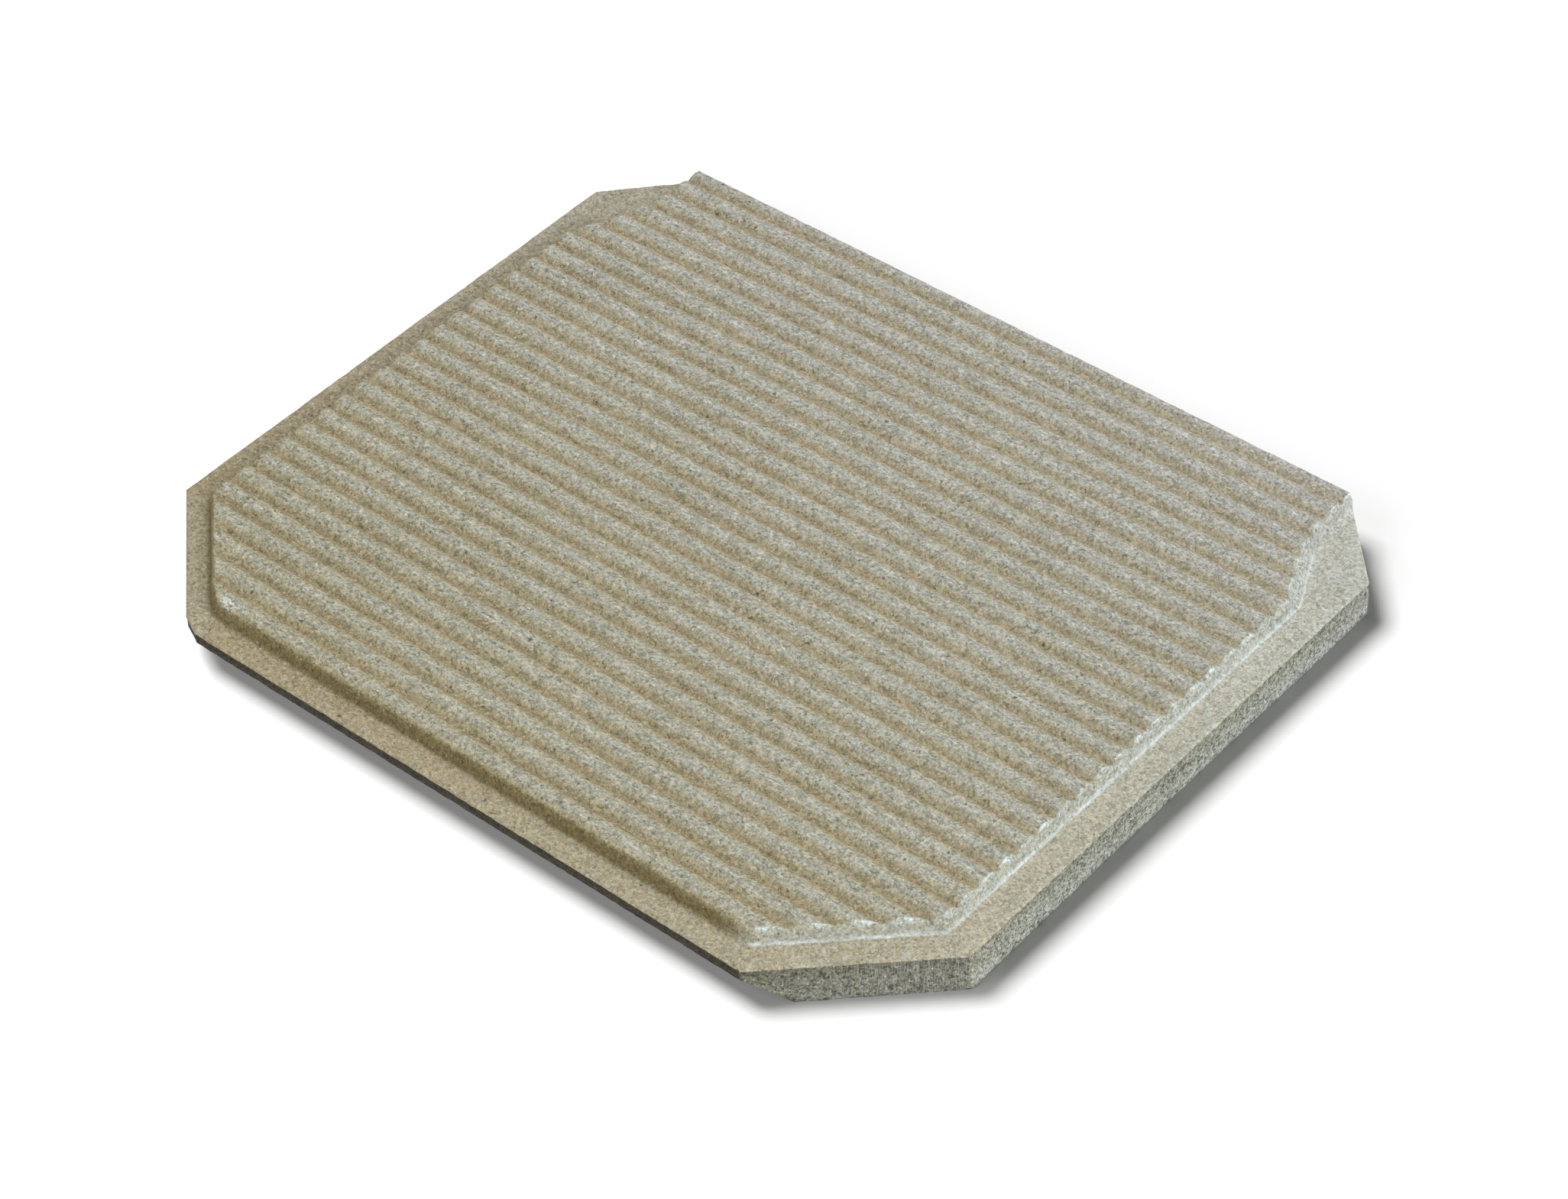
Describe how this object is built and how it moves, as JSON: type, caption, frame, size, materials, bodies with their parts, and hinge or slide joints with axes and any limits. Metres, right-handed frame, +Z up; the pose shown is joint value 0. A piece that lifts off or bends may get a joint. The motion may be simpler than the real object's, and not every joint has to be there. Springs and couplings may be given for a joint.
{
  "type": "ribbed stone slab",
  "caption": "Flat pressed-mineral slab with clipped corners and a raised field of parallel convex ribs inside a plain rim.",
  "frame": {"origin": "centre of the underside", "axes": "+X along the ribs, +Y across the ribs towards the trimmed edge, +Z up out of the ribbed face"},
  "size_m": [0.3632, 0.2964, 0.0211],
  "materials": {
    "pressed_stone": "matt, granular"
  },
  "bodies": {
    "root": {"ribbed_slab": "pressed_stone"}
  },
  "joints": []
}
